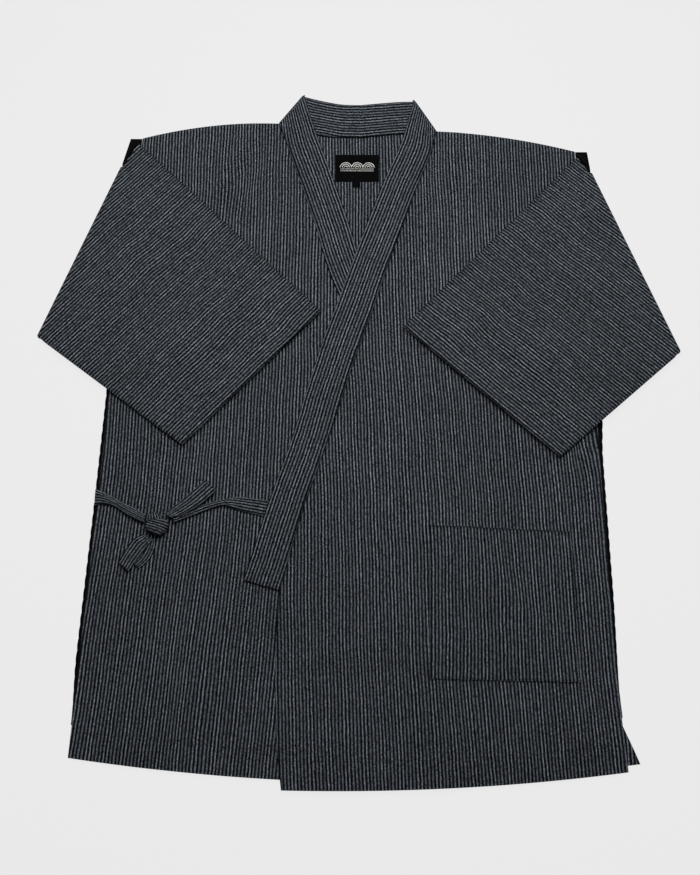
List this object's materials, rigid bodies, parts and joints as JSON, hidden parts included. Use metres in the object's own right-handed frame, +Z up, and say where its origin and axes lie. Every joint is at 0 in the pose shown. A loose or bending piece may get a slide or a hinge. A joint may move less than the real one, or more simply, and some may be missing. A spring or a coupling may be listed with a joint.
{
  "type": "jinbei top",
  "caption": "Striped cotton jinbei top laid flat face up, fronts lapped and tied, sleeves turned in over the chest, lace at the armholes and sides, patch pocket.",
  "frame": {"origin": "middle of the footprint, on the surface that the garment lies on", "axes": "+X to the wearer's left, +Y from the hem to the collar, +Z up from the surface"},
  "size_m": [0.7252, 0.8148, 0.013],
  "materials": {
    "striped_cotton": "matte puckered cotton with fine grey stripes on navy black",
    "lace_tape": "matte openwork tape",
    "woven_label": "smooth woven satin"
  },
  "bodies": {
    "root": {"back": "striped_cotton", "front_left": "striped_cotton", "collar_left": "striped_cotton", "sleeve_left": "striped_cotton", "lace_armhole_left": "lace_tape", "lace_turn_left": "lace_tape", "lace_side_left": "lace_tape", "front_right": "striped_cotton", "collar_right": "striped_cotton", "sleeve_right": "striped_cotton", "lace_armhole_right": "lace_tape", "lace_turn_right": "lace_tape", "lace_side_right": "lace_tape", "pocket": "striped_cotton", "label": "woven_label", "size_tab": "woven_label", "tie_side": "striped_cotton", "tie_front": "striped_cotton", "tie_bow": "striped_cotton", "tie_tail_over": "striped_cotton", "tie_tail_under": "striped_cotton", "tie_knot": "striped_cotton"}
  },
  "joints": []
}
